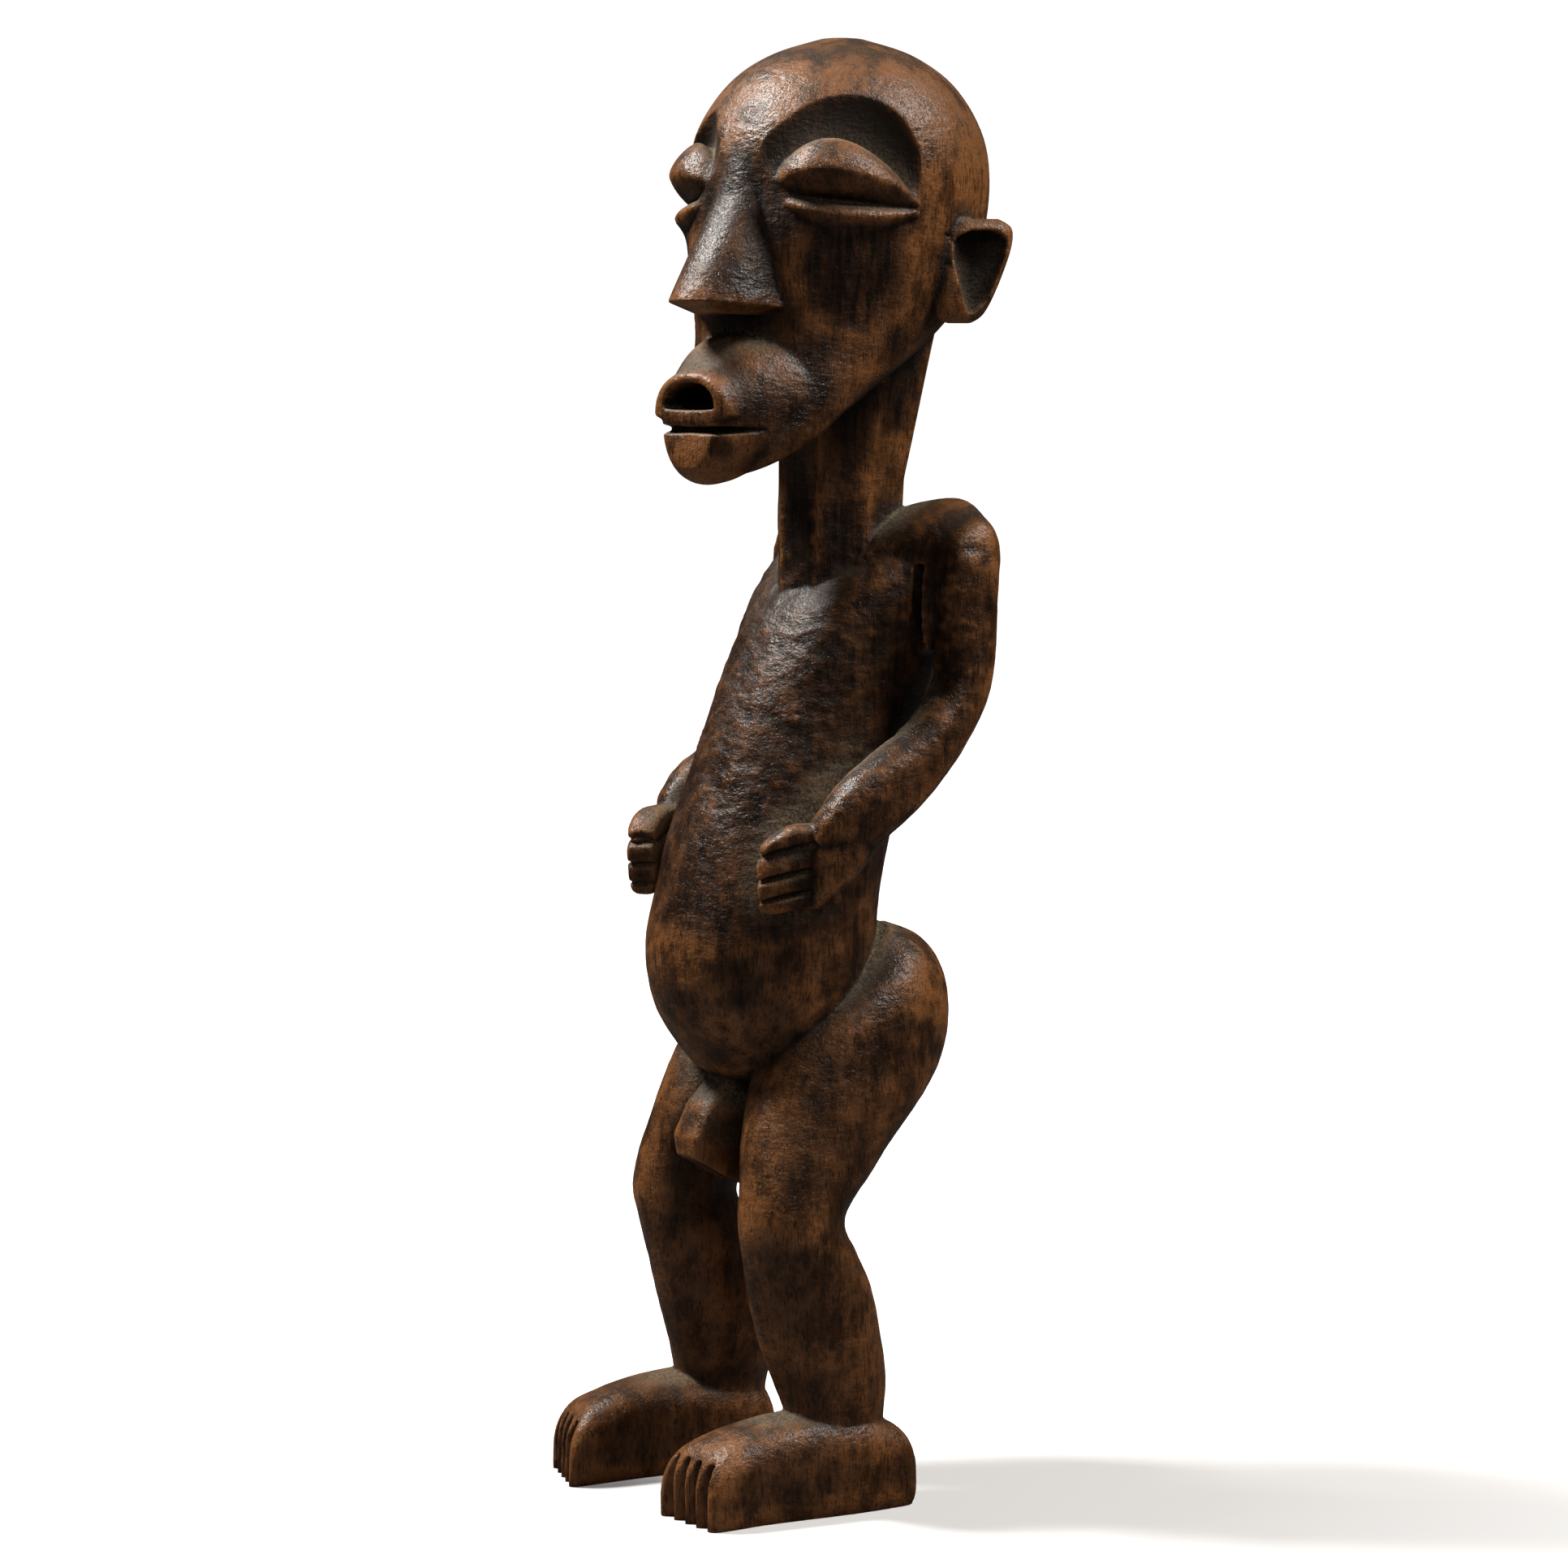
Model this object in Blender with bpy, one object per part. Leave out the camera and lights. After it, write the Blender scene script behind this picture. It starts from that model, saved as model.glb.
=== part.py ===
"""A standing wooden fertility figure, carved from one block: big shaved head turned to its left on an
eight-sided neck, round leaning torso, arms held free of the sides with the hands on the belly, bent
knees and block feet. It faces -Y, its left side is +X, and the soles stand on z = 0."""
from math import cos, pi, radians, sin

import bmesh
import bpy
from mathutils import Matrix, Vector

HEIGHT = 0.500
U = HEIGHT / 500

HEAD_TURN = radians(16)
NECK_AXIS = Vector((0, 26 * U, 0))
SHORT_SOCKET = 0.65
CHEEK_TURN = radians(50)
FAR_HAND_TURN = radians(5)
FOOT_TURNS = (radians(-5), radians(-8))
FOOT_FORWARD = (-0.5 * U, 4 * U)
ANKLE_X = 37.5 * U
TOES = 5
TOE_CUT_HEIGHT = 22 * U
TOE_CUT_WIDTH = 3.2 * U
TOE_CUT_DEPTH = 3.8 * U
TOE_SLANT = 0.18
CUTS_BETWEEN_FINGERS = ((230.8, 222.2, 215.1), (223.8, 216, 209.2))
CUTS_AT_FINGERTIPS = (224.5, 217, 210.3)
TIP_CUT_DEPTH = 2.2 * U
FAR_ARM_SAG = 5
ARM_SQUARENESS = 2.8
ARMPIT_WIDTH = 2.2 * U
ARMPIT_DEPTH = 4.5 * U
GROOVE_WIDTH = 2.2 * U
GROOVE_DEPTH = 2.8 * U

SIDES = 64
STEPS = 6
VOXEL = 0.85 * U
SOFTEN = 3
TRIANGLES = 9600
SOLE_LEVEL = 0.05 * U

WOOD = (0.085, 0.040, 0.020, 1.0)


def clear_scene():
    for item in list(bpy.data.objects):
        bpy.data.objects.remove(item, do_unlink=True)


def section(centre, side, depth, power=2.0, shrink=1.0):
    """One cross-section: its centre, the two half-axes as vectors, how square it is, and how much
    shorter the second half-axis is on its negative side."""
    return [Vector(centre), Vector(side), Vector(depth), power, shrink]


def rib(front, back, half_width, power=2.0, x=0.0, widest=0.5):
    """A section drawn in profile, by its front and back points (y, z) and its half width, which it
    has at the share widest of the way from front to back."""
    front_point = Vector((x, front[0], front[1])) * U
    back_point = Vector((x, back[0], back[1])) * U
    middle = front_point.lerp(back_point, widest)
    return section(middle, (half_width * U, 0, 0), front_point - middle, power, (1 - widest) / widest)


def blend_values(a, b, c, d, t):
    """Catmull-Rom between b and c."""
    return (2 * b + (c - a) * t + (2 * a - 5 * b + 4 * c - d) * t * t
            + (3 * b - a - 3 * c + d) * t * t * t) * 0.5


def smooth_sections(sections):
    last = len(sections) - 1
    result = []
    for k in range(last):
        near = [sections[max(k - 1, 0)], sections[k], sections[k + 1], sections[min(k + 2, last)]]
        for step in range(STEPS):
            t = step / STEPS
            result.append([blend_values(*values, t) for values in zip(*near)])
    return result + [sections[-1]]


def outline(centre, side, depth, power, shrink, sides, turn):
    points = []
    for k in range(sides):
        angle = 2 * pi * k / sides + turn
        c, s = cos(angle), sin(angle)
        reach = (abs(c) ** power + abs(s) ** power) ** (-1 / power)
        along = s * reach if s > 0 else s * reach * shrink
        points.append(centre + side * (c * reach) + depth * along)
    return points


def new_object(name, mesh_data):
    mesh = bpy.data.meshes.new(name)
    mesh_data.to_mesh(mesh)
    mesh_data.free()
    item = bpy.data.objects.new(name, mesh)
    bpy.context.scene.collection.objects.link(item)
    return item


def loft(name, sections, smooth=True, sides=SIDES, turn=0.0):
    """A closed skin over the sections, with a point at the middle of each end."""
    bm = bmesh.new()
    rings = []
    for centre, side, depth, power, shrink in (smooth_sections(sections) if smooth else sections):
        points = outline(centre, side, depth, power, shrink, sides, turn)
        rings.append([bm.verts.new(p) for p in points])
    for lower, upper in zip(rings, rings[1:]):
        for k in range(sides):
            n = (k + 1) % sides
            bm.faces.new((lower[k], lower[n], upper[n], upper[k]))
    for ring, centre in ((rings[0], sections[0][0]), (rings[-1], sections[-1][0])):
        tip = bm.verts.new(centre)
        for k in range(sides):
            bm.faces.new((ring[k], ring[(k + 1) % sides], tip))
    bmesh.ops.recalc_face_normals(bm, faces=bm.faces)
    if bm.calc_volume(signed=True) < 0:
        bmesh.ops.reverse_faces(bm, faces=bm.faces)
    return new_object(name, bm)


def sweep(name, stations, up=(0, 0, 1), **options):
    """A limb along a path. A station is (x, y, z, half size across, half size along up, power);
    the power may be left out."""
    centres = [Vector(s[:3]) * U for s in stations]
    sections = []
    for k, (x, y, z, across, along, *power) in enumerate(stations):
        tangent = (centres[min(k + 1, len(centres) - 1)] - centres[max(k - 1, 0)]).normalized()
        side = tangent.cross(Vector(up)).normalized()
        upright = side.cross(tangent).normalized()
        sections.append(section(centres[k], side * across * U, upright * along * U, *power))
    return loft(name, sections, **options)


def cut(item, cutter):
    """Take the cutter out of the item, and drop the cutter."""
    modifier = item.modifiers.new("cut", "BOOLEAN")
    modifier.operation = "DIFFERENCE"
    modifier.solver = "EXACT"
    modifier.object = cutter
    bake(item)
    bpy.data.objects.remove(cutter, do_unlink=True)
    return item


def bake(item):
    """Replace the item's mesh by what its modifiers make of it."""
    graph = bpy.context.evaluated_depsgraph_get()
    graph.update()
    mesh = bpy.data.meshes.new_from_object(item.evaluated_get(graph))
    item.modifiers.clear()
    item.data = mesh


def move(item, matrix):
    item.data.transform(matrix)
    return item


def copied(item):
    twin = item.copy()
    twin.data = item.data.copy()
    bpy.context.scene.collection.objects.link(twin)
    return twin


def mirrored(item):
    """The same form on the other side of the figure."""
    twin = move(copied(item), Matrix.Scale(-1, 4, (1, 0, 0)))
    twin.data.flip_normals()
    return twin


def groove(start, end, inward, width=GROOVE_WIDTH, depth=GROOVE_DEPTH):
    """A V-shaped cutter along start to end, whose point reaches depth below that line."""
    start, end, inward = Vector(start), Vector(end), Vector(inward).normalized()
    along = (end - start).normalized()
    across = along.cross(inward).normalized() * width
    over = inward * depth
    sections = []
    for centre in (start, end):
        sections.append([centre + over, centre - over + across, centre - over - across])
    bm = bmesh.new()
    rings = [[bm.verts.new(p) for p in ring] for ring in sections]
    for k in range(3):
        n = (k + 1) % 3
        bm.faces.new((rings[0][k], rings[0][n], rings[1][n], rings[1][k]))
    bm.faces.new(rings[0])
    bm.faces.new(rings[1])
    bmesh.ops.recalc_face_normals(bm, faces=bm.faces)
    if bm.calc_volume(signed=True) < 0:
        bmesh.ops.reverse_faces(bm, faces=bm.faces)
    return new_object("groove", bm)


def make_torso():
    """Round trunk leaning back from a full belly to a shallow chest, and the yoke of the shoulders."""
    trunk = loft("trunk", [
        rib((-12, 141), (4, 141), 8),
        rib((-25, 146), (16, 145), 20),
        rib((-33, 153), (25, 152), 28.6),
        rib((-41, 165), (31, 164), 35.8),
        rib((-45.5, 178), (33, 178), 39),
        rib((-46.5, 190), (33.5, 190), 39.8),
        rib((-44.5, 202), (34, 202), 39.3),
        rib((-37.5, 227), (39, 227), 38.2),
        rib((-30, 247), (46, 248), 37.2, widest=0.52),
        rib((-21.5, 269), (55, 271), 37.3, widest=0.54),
        rib((-11.5, 289), (60, 297), 40, widest=0.57),
        rib((-4, 302), (60.5, 318), 42, widest=0.6),
        rib((3, 310), (57.5, 333), 41.5, widest=0.6),
        rib((11, 317), (50, 339), 37, widest=0.6),
        rib((20, 325), (42, 341), 24),
    ])
    yoke = loft("yoke", [
        section(Vector((x, y, z)) * U, Vector((0, hy, rise)) * U, Vector((0, 0, hz)) * U, 2.6)
        for x, y, z, hy, rise, hz in (
            (-58.3, 47, 320, 4, 1, 6), (-56, 47, 321, 8.5, 3, 11.5), (-49, 45.5, 319, 12, 5, 17),
            (-38, 41, 315.5, 16, 8.5, 21), (-20, 34.5, 312, 23, 13, 22), (0, 30, 310, 27, 16, 21),
            (20, 34.5, 313, 23, 13, 24), (38, 41, 317, 16, 8.5, 24), (49, 44, 319.5, 12, 4.5, 18.3),
            (55.8, 44.5, 322.5, 9.5, 2, 12), (58.6, 45, 322, 4, 1, 6.5))
    ])
    return [trunk, yoke]


def make_neck():
    """Eight-sided column, slightly flared into the skull."""
    sections = []
    for z, lean, radius in ((300, 0, 22.6), (335, 0, 22.8), (350, 0.5, 23.2), (385, 4.8, 27), (415, 8, 31)):
        centre = NECK_AXIS + Vector((0, lean, z)) * U
        sections.append(section(centre, (radius * U, 0, 0), (0, radius * U, 0)))
    return [loft("neck", sections, smooth=False, sides=8, turn=radians(-9))]


def head_rib(back, front, half_width, widest=0.5):
    """A section of the head, drawn in its own profile by how far forward and how high it reaches."""
    return rib((-front[0], front[1]), (-back[0], back[1]), half_width, widest=widest)


def make_skull():
    """Ball of the cranium running out into a long forward jaw."""
    return loft("skull", [
        head_rib((-8, 499.6), (6, 499.8), 7),
        head_rib((-25, 493.5), (21.5, 495), 24),
        head_rib((-39.5, 483), (35.5, 487), 37.5),
        head_rib((-49, 467.5), (46, 475), 47),
        head_rib((-52.5, 449), (52.5, 462), 50.5),
        head_rib((-50, 430), (54, 446), 49.5),
        head_rib((-43, 414), (57, 428), 47, 0.53),
        head_rib((-30, 402), (58, 414), 43.5, 0.58),
        head_rib((-12, 392), (56, 402), 40, 0.65),
        head_rib((8, 381.5), (56.5, 391), 36.5, 0.66),
        head_rib((26, 371), (61, 379), 32, 0.66),
        head_rib((40, 361.5), (66, 367), 27, 0.62),
        head_rib((51, 355), (69, 358), 18, 0.55),
        head_rib((57, 352.5), (67, 353), 9),
    ])


def eye_line(t):
    """Point and outward direction along the slit of the left eye, from the nose to the temple."""
    angle = radians(12 + 70 * t)
    outward = Vector((sin(angle), -cos(angle), 0))
    along = max(t, 0)
    point = Vector((9 + 40 * along ** 0.85, -(48.5 - 32 * along ** 1.7), 446.5 - 6 * t)) * U
    return point, outward


def lid(name, rise, half_height, bulge, lift, power):
    """Crescent of one eyelid, pointed at both corners, whose crest lies above its middle by the lift."""
    sections = []
    for k in range(17):
        t = k / 16
        point, outward = eye_line(t)
        full = max(sin(pi * t), 0.08) ** 0.7
        centre = point + Vector((0, 0, rise * full * U)) - outward * (1 - full) * U
        crest = (outward * bulge + Vector((0, 0, lift))) * full * U
        sections.append(section(centre, crest, (0, 0, half_height * full * U), power))
    return loft(name, sections)


def make_socket(far_side):
    """Scoop under the brow that leaves a sharp arched rim above the eye. The left one is deepest at
    the temple; the right one stops short of it, below a full brow."""
    sections = []
    for k in range(17):
        t = k / 16
        point, outward = eye_line(t * 1.15 - 0.08)
        full = max(1 - abs(2 * t - 1) ** (1.7 if t < 0.5 else 3), 0.02) ** 0.5
        low = SHORT_SOCKET * min(max((t - 0.3) / 0.4, 0), 1) if far_side else 0
        depth = 2.5 + 5 * t * (1 - low)
        centre = point + outward * (20 - depth) * U + Vector((0, 0, 10 - 7 * low)) * U
        side = outward * (20 - 12 * (1 - full)) * U
        up = (Vector((0, 0, 35.5)) - outward * 10) * full * (1 - low) * U
        sections.append(section(centre, side, up, 2.0, 0.8))
    return loft("socket", sections)


def make_nose():
    """Long straight wedge with a keen ridge, flared to flat wings and cut off flat below."""
    sections = []
    for ridge, base, half_width, power in (
            ((47, 475), (38, 474), 6.5, 2.2), ((53, 460), (40, 459), 9.5, 2.4),
            ((57.5, 445.5), (42, 445), 12, 2.5), ((63.5, 436), (43, 434), 14, 2.5),
            ((69, 428.5), (44, 427), 15.5, 2.4), ((77.5, 416), (46, 414), 18, 2.2),
            ((81.5, 410.4), (47, 408), 20, 2.0)):
        front = Vector((0, -ridge[0], ridge[1])) * U
        root = Vector((0, -base[0], base[1])) * U
        sections.append(section(root, (half_width * U, 0, 0), front - root, power, 0.5))
    sections.append(section((0, -48 * U, 405 * U), (15 * U, 0, 0), (0, -22 * U, 1.5 * U), 1.8, 0.5))
    return loft("nose", sections, smooth=False)


def make_cheek():
    """Low pillow on the cheekbone, under the eye."""
    outward = Vector((sin(CHEEK_TURN), -cos(CHEEK_TURN), 0))
    across = Vector((cos(CHEEK_TURN), sin(CHEEK_TURN), 0))
    return loft("cheek", [
        section(Vector((28, -33, 423 + rise)) * U, across * half * U, outward * depth * U)
        for rise, half, depth in (
            (-15, 3, 3), (-12.5, 11, 7), (-7, 16.5, 10), (0, 19, 11), (7, 16.5, 10), (12.5, 11, 7),
            (15, 3, 3))
    ])


def make_muzzle():
    """Forward jaw and chin, a barrel that grows out below the cheeks."""
    return loft("muzzle", [
        section((0, -y * U, middle * U), (half_width * U, 0, 0), (0, 0, (top - middle) * U), 2.2,
                (middle - low) / (top - middle))
        for y, low, middle, top, half_width in (
            (20, 381, 388, 395, 31), (34, 371, 383, 397, 32), (48, 358.5, 377, 400, 28.2),
            (60, 351.5, 373, 398.5, 23), (67, 349.5, 372, 393.5, 19.5), (72, 350, 372, 388.5, 16.5),
            (75.5, 351.8, 371, 384, 13.5), (77.6, 355, 369, 379, 10))
    ])


def make_lips():
    """Pursed lips: a half-round ring, flat below, around a half-moon mouth."""
    lips = loft("lips", [
        section((0, -y * U, 373 * U), (half_width * U, 0, 0), (0, 0, (top - 373) * U), 2.3, 0.2)
        for y, top, half_width in (
            (60, 392, 21), (69, 390, 18), (74, 387.8, 16.6), (76.8, 386.6, 15.9), (77.8, 385.4, 14.8))
    ], smooth=False)
    mouth = loft("mouth", [
        section((0, -y * U, 375 * U), (half_width * U, 0, 0), (0, 0, (top - 375) * U), 2.2, 0.1)
        for y, top, half_width in ((60, 379, 6), (66, 382, 10), (77, 383.6, 11.3), (84, 385, 12.5))
    ], smooth=False)
    return lips, mouth


def make_chin_groove():
    """Undercut below the lower lip."""
    return loft("chin groove", [
        section((x * U, (-91 + x * x / 40) * U, 367.8 * U), (0, 17 * U, 0), (0, 0, 2 * U), 2.0)
        for x in (-24, -16, -8, 0, 8, 16, 24)
    ], smooth=False)


def make_ear():
    """Flat shell standing off the head, hollowed in front."""
    lean = radians(57)
    back = Vector((cos(lean), sin(lean), 0))
    face = Vector((sin(lean), -cos(lean), 0))
    shell = loft("ear", [
        section((Vector((45, 0, z)) + back * (start + end) / 2) * U, back * (end - start) / 2 * U,
                face * thick * U, 2.4)
        for z, start, end, thick in (
            (403, 2, 10, 2.5), (405.5, -2, 14, 4.5), (411, -3, 17.5, 5.5), (420, -2, 21.5, 6),
            (429, 0, 24.5, 6), (435, 2, 24.5, 5), (438, 5, 20, 2.5))
    ])
    hollow = loft("ear hollow", [
        section((Vector((45, 0, z)) + back * centre + face * 7) * U, back * half * U, face * 8 * U)
        for z, centre, half in (
            (406.5, 9, 1), (411, 10.5, 4.5), (420, 11.5, 8.2), (427, 12, 10), (431.5, 12.5, 9.3),
            (434, 13, 4))
    ])
    return cut(shell, hollow)


def make_head():
    """Skull, sockets, eyes, nose, mouth and ears, turned to the figure's left on the neck."""
    skull, muzzle = make_skull(), make_muzzle()
    lips, mouth = make_lips()
    cut(skull, make_socket(False))
    right_socket = make_socket(True)
    cut(skull, mirrored(right_socket))
    bpy.data.objects.remove(right_socket, do_unlink=True)
    cut(muzzle, make_chin_groove())
    cut(muzzle, copied(mouth))
    cut(lips, mouth)
    pieces = [skull, muzzle, lips, make_nose()]
    upper = lid("upper lid", 10, 10.5, 9.5, 0, 1.4)
    lower = lid("lower lid", -6.3, 6, 7.6, 1.6, 1.5)
    for part in (upper, lower, make_cheek(), make_ear()):
        pieces += [part, mirrored(part)]
    turn = Matrix.Translation(NECK_AXIS) @ Matrix.Rotation(HEAD_TURN, 4, "Z")
    return [move(piece, turn) for piece in pieces]


def make_arm(sag=0.0):
    """Upper arm hanging free of the side, bent elbow, and forearm coming forward to the belly. It
    hangs lower at the elbow by the sag."""
    stations = [
        (48, 44, 330, 8, 8.5), (49.5, 44, 323, 10, 10.4), (50, 43.5, 308, 10, 10.6),
        (50.5, 43.3, 289, 9.8, 9.4), (51, 39.5, 275.5, 9.8, 8.8), (51.8, 27.5, 261, 9.8, 10),
        (52.2, 14.5, 250.5, 9.6, 11.8), (51.5, 2, 241.5, 9, 12.4), (49.5, -6, 233, 7.6, 11.5),
        (47, -11, 227.5, 5.5, 9)]
    lowered = []
    for k, (x, y, z, across, along) in enumerate(stations):
        drop = sag * sin(pi * k / (len(stations) - 1))
        lowered.append((x, y, z - drop, across, along, ARM_SQUARENESS))
    return sweep("arm", lowered, up=(0, -1, 0.25))


def cut_armpits(pieces):
    """The narrow groove between the side of the chest and the upper arm."""
    for side in (-1, 1):
        top, bottom = Vector((side * 42.5, 33, 322)) * U, Vector((side * 40.5, 30, 268)) * U
        crease = groove(top, bottom, (-0.2 * side, 1, 0), ARMPIT_WIDTH, ARMPIT_DEPTH)
        for piece in pieces:
            cut(piece, copied(crease))
        bpy.data.objects.remove(crease, do_unlink=True)


def make_hand():
    """Flat hand laid on the belly: the square back of the hand, a lower block of fingers and a thumb
    along the top of it, with the cuts between them."""
    outward = Vector((0.85, -0.53, 0))
    back = loft("back of hand", [
        section(Vector((x, y, z)) * U, outward * thick * U, (0, 0, half * U), power)
        for x, y, z, thick, half, power in (
            (51.5, 10, 241, 6, 10, 2.4), (51, 4, 235.5, 7.2, 12, 2.6),
            (50.3, -1, 230.5, 7.8, 12.5, 2.8), (49.2, -6, 226, 7.8, 12.3, 3),
            (47.5, -11, 221.8, 7.2, 11.6, 3.4), (46.1, -14, 219.6, 6.6, 10.8, 3.6),
            (45.5, -15.2, 219.4, 5, 9.4, 3.4))
    ])
    fingers = sweep("fingers", [
        (48, -8, 220.5, 5.6, 10.8, 3.4), (44.3, -16, 219, 5.8, 11, 3.4),
        (41, -23, 217.5, 6, 10.4, 3.4), (38, -28, 216.6, 5.8, 10.2, 3.4),
        (36, -30.6, 216.3, 4.8, 9.6, 3.4)])
    thumb = sweep("thumb", [
        (48.5, -6.5, 233.4, 5.6, 3.6, 2.6), (44.9, -14.7, 232.6, 6, 4, 2.8),
        (41.7, -21.5, 231.4, 6, 4.6, 2.8), (38.8, -26.8, 228.6, 5.8, 3.6, 2.8),
        (36.8, -29.6, 226.8, 4.8, 2.2, 2.6)])
    for start_height, end_height in zip(*CUTS_BETWEEN_FINGERS):
        start = Vector((50.5, -16, start_height)) * U
        end = Vector((37.8, -39.5, end_height)) * U
        for part in (fingers, thumb):
            cut(part, groove(start, end, -outward))
    for height in CUTS_AT_FINGERTIPS:
        start, end = Vector((41, -34.5, height)) * U, Vector((32, -27.5, height + 1)) * U
        for part in (fingers, thumb):
            cut(part, groove(start, end, (0.61, 0.79, 0), GROOVE_WIDTH, TIP_CUT_DEPTH))
    return [back, fingers, thumb]


def make_leg():
    """Buttock and heavy thigh running forward to the knee, then the shin going straight down."""
    return loft("leg", [
        rib((4, 175), (30, 198), 12, 2.0, 22),
        rib((-6, 169), (42, 192.5), 20, 2.0, 23),
        rib((-14, 162), (49.3, 180.5), 23.5, 2.1, 24),
        rib((-21, 152), (51, 165), 24, 2.1, 25),
        rib((-26, 141), (46, 149.5), 23, 2.1, 27),
        rib((-30, 129), (31.8, 133), 21, 2.1, 29.3),
        rib((-33.5, 115), (15.6, 116.5), 18.6, 2.0, 32.5),
        rib((-35, 101), (2.5, 101), 17.6, 2.0, 34.6),
        rib((-33, 90), (8, 87), 18.2, 2.0, 33.4),
        rib((-29.5, 76), (14, 75), 18.8, 2.1, 32),
        rib((-24.5, 56), (18.5, 56), 18.4, 2.2, 32.2),
        rib((-20, 42), (20, 42), 16.4, 2.1, 34),
        rib((-17.3, 30), (17.5, 30), 13.6, 2.1, 36.3),
        rib((-17, 14), (15, 14), 13, 2.1, 37),
    ])


def make_foot():
    """Block foot, highest at the ankle, with an upright row of toes cut in front."""
    foot = loft("foot", [
        section((shift * U, -y * U, (top + low) / 2 * U), (half * U, 0, 0),
                (0, 0, (top - low) / 2 * U), power)
        for y, shift, half, low, top, power in (
            (-23.4, 0, 8.5, 3, 15, 2.6), (-22.4, 0, 12, -2, 21, 2.8), (-19, 0, 14.8, -5, 26.5, 3),
            (-12, 0, 15.8, -6, 30, 3), (-4, 0, 16.5, -6, 32.3, 3), (8, 0, 16.5, -6, 33.5, 3),
            (24, -0.5, 16, -6, 33, 3), (38, -1, 15.8, -6, 30.5, 3), (48, -1, 16, -6, 27, 3.2),
            (53.5, -1, 15.8, -6, 23, 3.4), (56.5, -1, 15, -6, 18, 3.6), (57.6, -1, 14, -6, 14, 3.6))
    ])
    slant = Matrix.Identity(4)
    slant[1][0] = TOE_SLANT
    move(foot, slant)
    for k in range(1, TOES):
        x = (-16.5 + 31 * k / TOES) * U
        front = -57.5 * U + TOE_SLANT * x
        bottom, top = Vector((x, front + 2 * U, -8 * U)), Vector((x, front + 2.5 * U, TOE_CUT_HEIGHT))
        cut(foot, groove(bottom, top, (0, 1, 0), TOE_CUT_WIDTH, TOE_CUT_DEPTH))
    return foot


def make_loin_block():
    """Tapering four-sided block that hangs from the belly between the thighs."""
    return [loft("loin block", [
        section(Vector((0, (front + back) / 2, z)) * U, (half * U, 0, 0),
                (0, (back - front) / 2 * U, tilt * U), 5)
        for z, front, back, half, tilt in (
            (150, -20, 4, 7.5, 0), (141, -28.5, 0, 8, 0), (135, -33, -5, 8.8, -1.5),
            (121, -38.5, -16, 9.2, -5), (113.5, -37.5, -18.5, 8, -5.5))
    ], smooth=False)]


def make_pieces():
    right_arm = make_arm(FAR_ARM_SAG)
    pieces = make_torso() + [make_arm(), mirrored(right_arm)]
    bpy.data.objects.remove(right_arm, do_unlink=True)
    cut_armpits(pieces)
    pieces += make_neck() + make_head() + make_loin_block()
    leg = make_leg()
    pieces += [leg, mirrored(leg)]
    swing = Matrix.Translation((-1.5 * U, 0, -1.5 * U)) @ Matrix.Rotation(FAR_HAND_TURN, 4, "Z")
    for part in make_hand():
        pieces += [part, move(mirrored(part), swing)]
    foot = make_foot()
    placing = zip((foot, mirrored(foot)), (ANKLE_X, -ANKLE_X), FOOT_FORWARD, FOOT_TURNS)
    for item, x, forward, turn in placing:
        pieces.append(move(item, Matrix.Translation((x, -forward, 0)) @ Matrix.Rotation(turn, 4, "Z")))
    return pieces


def join_pieces(pieces):
    """Grow all the lofts into one skin, ease its creases, stand it on flat soles and thin its faces."""
    bm = bmesh.new()
    for piece in pieces:
        bm.from_mesh(piece.data)
        bpy.data.objects.remove(piece, do_unlink=True)
    figure = new_object("figure", bm)
    skin = figure.modifiers.new("skin", "REMESH")
    skin.mode = "VOXEL"
    skin.voxel_size = VOXEL
    soften = figure.modifiers.new("soften", "SMOOTH")
    soften.factor = 0.5
    soften.iterations = SOFTEN
    bake(figure)
    stand(figure)
    faces = sum(len(p.vertices) - 2 for p in figure.data.polygons)
    thin = figure.modifiers.new("thin", "DECIMATE")
    thin.ratio = TRIANGLES / faces
    bake(figure)
    centre(figure)
    return figure


def centre(figure):
    """Bring the middle of the figure's extent in x and y over the origin, and level its soles."""
    for vertex in figure.data.vertices:
        if vertex.co.z < SOLE_LEVEL:
            vertex.co.z = 0
    for axis in (0, 1):
        values = [v.co[axis] for v in figure.data.vertices]
        shift = Vector((0, 0, 0))
        shift[axis] = -(min(values) + max(values)) / 2
        move(figure, Matrix.Translation(shift))


def stand(figure):
    """Cut the soles flat at z = 0 and close them."""
    bm = bmesh.new()
    bm.from_mesh(figure.data)
    everything = bm.verts[:] + bm.edges[:] + bm.faces[:]
    rim = bmesh.ops.bisect_plane(bm, geom=everything, dist=1e-7, plane_co=(0, 0, 0), plane_no=(0, 0, 1),
                                 clear_inner=True)
    edges = [e for e in rim["geom_cut"] if isinstance(e, bmesh.types.BMEdge)]
    bmesh.ops.holes_fill(bm, edges=edges, sides=0)
    bmesh.ops.triangulate(bm, faces=bm.faces)
    bm.to_mesh(figure.data)
    bm.free()


def wood_material():
    material = bpy.data.materials.new("dark hardwood")
    material.use_nodes = True
    shader = material.node_tree.nodes["Principled BSDF"]
    shader.inputs["Base Color"].default_value = WOOD
    shader.inputs["Roughness"].default_value = 0.45
    shader.inputs["Metallic"].default_value = 0.0
    return material


clear_scene()
figure = join_pieces(make_pieces())
figure.data.materials.clear()
figure.data.materials.append(wood_material())
figure.data.shade_smooth()
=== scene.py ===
from math import cos, pi, radians, sin, sqrt

import bmesh
import bpy
import numpy as np
from mathutils import Matrix, Vector
from mathutils.bvhtree import BVHTree


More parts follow.
